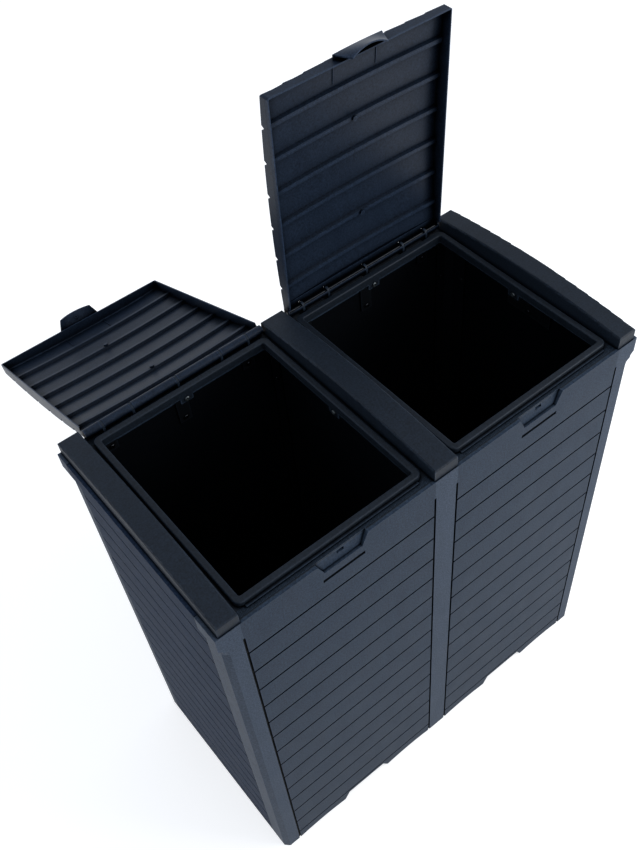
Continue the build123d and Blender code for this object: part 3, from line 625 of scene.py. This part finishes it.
class CAN_OT_ledges(bpy.types.Operator):
    """Add the fine ridges on the front ledge of each deck"""
    bl_idname = "trash_can.ledges"
    bl_label = "Ledge Ridges"

    def execute(self, context):
        ledge = scene_settings("ledge")
        for name, side in SIDES:
            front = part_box("top_frame_" + name)[0].y
            bar_low, bar_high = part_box("crossbar_" + name)
            middle_low, middle_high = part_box("crossbar_middle")
            inner = middle_high.x if side > 0 else middle_low.x
            outer = bar_low.x if side > 0 else bar_high.x
            length = abs(outer - inner) - 2 * ledge.inset
            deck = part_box("crossbar_middle")[0].z
            bpy.ops.object.select_all(action="DESELECT")
            bpy.ops.mesh.primitive_cube_add(size=1.0)
            ridges = context.object
            ridges.name = "ledge_ridges_" + name
            bpy.ops.object.mode_set(mode="EDIT")
            bpy.ops.mesh.select_all(action="SELECT")
            bpy.ops.transform.resize(value=(length, ledge.width, ledge.height))
            first = front + 2 * ledge.inset
            bpy.ops.transform.translate(value=((inner + outer) / 2, first, deck + ledge.height / 2))
            bpy.ops.object.mode_set(mode="OBJECT")
            row = ridges.modifiers.new("Row", "ARRAY")
            row.count = ledge.count
            row.use_relative_offset = False
            row.use_constant_offset = True
            row.constant_offset_displace = (0.0, ledge.pitch, 0.0)
            bpy.ops.object.modifier_apply(modifier=row.name)
            ridges.data.materials.append(bpy.data.materials[DECK_PLASTIC])
            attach(ridges, "carcass")
        return {"FINISHED"}


class CAN_OT_stage(bpy.types.Operator):
    """Set up the floor, the soft light and the camera"""
    bl_idname = "trash_can.stage"
    bl_label = "Stage"

    def execute(self, context):
        stage = scene_settings("stage")
        bpy.ops.object.select_all(action="DESELECT")
        bpy.ops.mesh.primitive_plane_add(size=stage.floor_size)
        floor = context.object
        floor.name = "floor"
        floor.data.materials.append(painted_floor("painted_floor", stage))
        bpy.ops.object.light_add(type="AREA", location=stage.light_place, rotation=stage.light_turn)
        light = context.object
        light.name = "front_light"
        light.data.shape = "SQUARE"
        light.data.size = stage.light_size
        light.data.energy = stage.light_power
        world = bpy.data.worlds.new("surround")
        world.use_nodes = True
        background = world.node_tree.nodes["Background"]
        background.inputs["Color"].default_value = linear_colour(stage.world)
        background.inputs["Strength"].default_value = stage.world_strength
        context.scene.world = world
        bpy.ops.object.camera_add(location=stage.camera_place, rotation=stage.camera_turn)
        camera = context.object
        camera.data.lens = stage.lens
        camera.data.shift_x, camera.data.shift_y = stage.shift
        context.scene.camera = camera
        context.scene.view_settings.view_transform = "Standard"
        return {"FINISHED"}


class CAN_PT_panel(bpy.types.Panel):
    """Sidebar panel of the trash can"""
    bl_idname = "CAN_PT_panel"
    bl_label = "Trash Can"
    bl_space_type = "VIEW_3D"
    bl_region_type = "UI"
    bl_category = "Trash Can"

    def draw(self, context):
        for operator in OPERATORS:
            self.layout.operator(operator.bl_idname)


GROUPS = (
    ("plastic", PlasticSettings),
    ("steel", SteelSettings),
    ("zinc", ZincSettings),
    ("ledge", LedgeSettings),
    ("stage", StageSettings),
)
OPERATORS = (
    CAN_OT_decks, CAN_OT_inner, CAN_OT_walls, CAN_OT_lids, CAN_OT_rods, CAN_OT_screws,
    CAN_OT_ledges, CAN_OT_stage)


def register():
    """Register the add-on."""
    for name, group in GROUPS:
        bpy.utils.register_class(group)
        setattr(bpy.types.Scene, "trash_can_" + name, PointerProperty(type=group))
    for operator in OPERATORS:
        bpy.utils.register_class(operator)
    bpy.utils.register_class(CAN_PT_panel)


def unregister():
    """Remove the add-on."""
    bpy.utils.unregister_class(CAN_PT_panel)
    for operator in reversed(OPERATORS):
        bpy.utils.unregister_class(operator)
    for name, group in reversed(GROUPS):
        delattr(bpy.types.Scene, "trash_can_" + name)
        bpy.utils.unregister_class(group)


def main():
    """Build the looks round the CAD frame."""
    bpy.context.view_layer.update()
    register()
    for operator in OPERATORS:
        group, name = operator.bl_idname.split(".")
        getattr(getattr(bpy.ops, group), name)()


if __name__ == "__main__":
    main()
